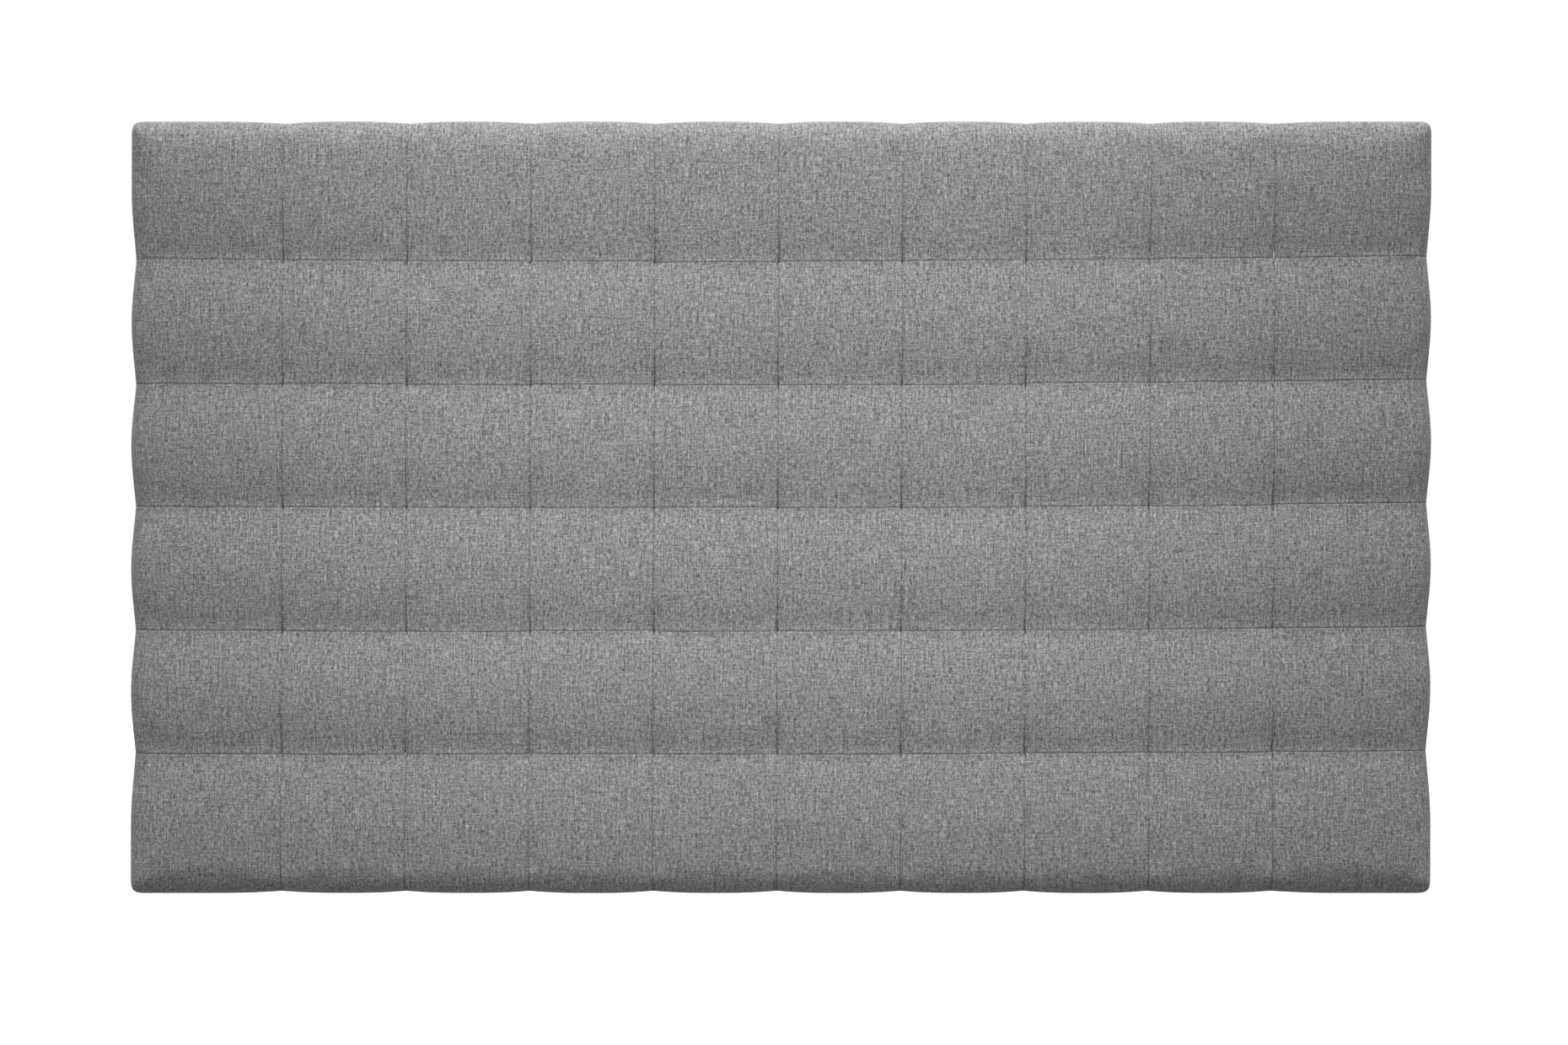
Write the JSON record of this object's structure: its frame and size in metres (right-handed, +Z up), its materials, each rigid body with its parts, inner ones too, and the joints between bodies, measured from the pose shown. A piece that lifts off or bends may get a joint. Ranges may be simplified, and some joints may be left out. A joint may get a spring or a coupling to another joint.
{
  "type": "upholstered headboard",
  "caption": "Wall-hung upholstered headboard with square-quilted heather cloth over foam on a timber frame, lifting off hooked steel brackets.",
  "frame": {"origin": "centre of the wall screw holes of the two wall brackets, on the wall's surface", "axes": "+X to the right seen from the front, along the panel's width; +Y into the wall, so the quilted front faces -Y; +Z up"},
  "size_m": [1.6, 0.0881, 0.95],
  "materials": {
    "heather_cloth": "linen-look heather weave",
    "wadding": "loose polyester wadding",
    "foam": "open-cell upholstery foam",
    "pine": "planed softwood",
    "plywood": "sanded plywood",
    "beech": "fluted beech dowel",
    "dust_cloth": "spun-bonded non-woven cloth",
    "zinc_steel": "zinc plated",
    "staple_wire": "galvanised wire",
    "waxed_twine": "waxed polyester twine",
    "washer_fibre": "moulded nylon",
    "bumper_rubber": "moulded rubber"
  },
  "bodies": {
    "wall_brackets": {"wall_bracket_left": "zinc_steel", "wall_bracket_right": "zinc_steel"},
    "headboard": {"back_dust_cover": "dust_cloth", "board_screws": "zinc_steel", "bottom_rail": "pine", "bracket_screws": "zinc_steel", "bumper_left": "bumper_rubber", "bumper_right": "bumper_rubber", "bumper_screws": "zinc_steel", "centre_stile": "pine", "corner_block_bottom_left": "plywood", "corner_block_bottom_right": "plywood", "corner_block_top_left": "plywood", "corner_block_top_right": "plywood", "cover_staples": "staple_wire", "cover_strip_1": "heather_cloth", "cover_strip_2": "heather_cloth", "cover_strip_3": "heather_cloth", "cover_strip_4": "heather_cloth", "cover_strip_5": "heather_cloth", "cover_strip_6": "heather_cloth", "dust_cover_staples": "staple_wire", "facing_board": "plywood", "foam_pad": "foam", "frame_dowels": "beech", "hanging_bracket_left": "zinc_steel", "hanging_bracket_right": "zinc_steel", "left_end_stile": "pine", "left_inner_stile": "pine", "right_end_stile": "pine", "right_inner_stile": "pine", "top_rail": "pine", "tufting_twines": "waxed_twine", "tufting_washers": "washer_fibre", "wadding_squares": "wadding"}
  },
  "joints": [
    {"name": "lift_off", "type": "slide", "parent": "wall_brackets", "child": "headboard", "axis": [0, 0, 1], "range_m": [0, 0.018]}
  ]
}
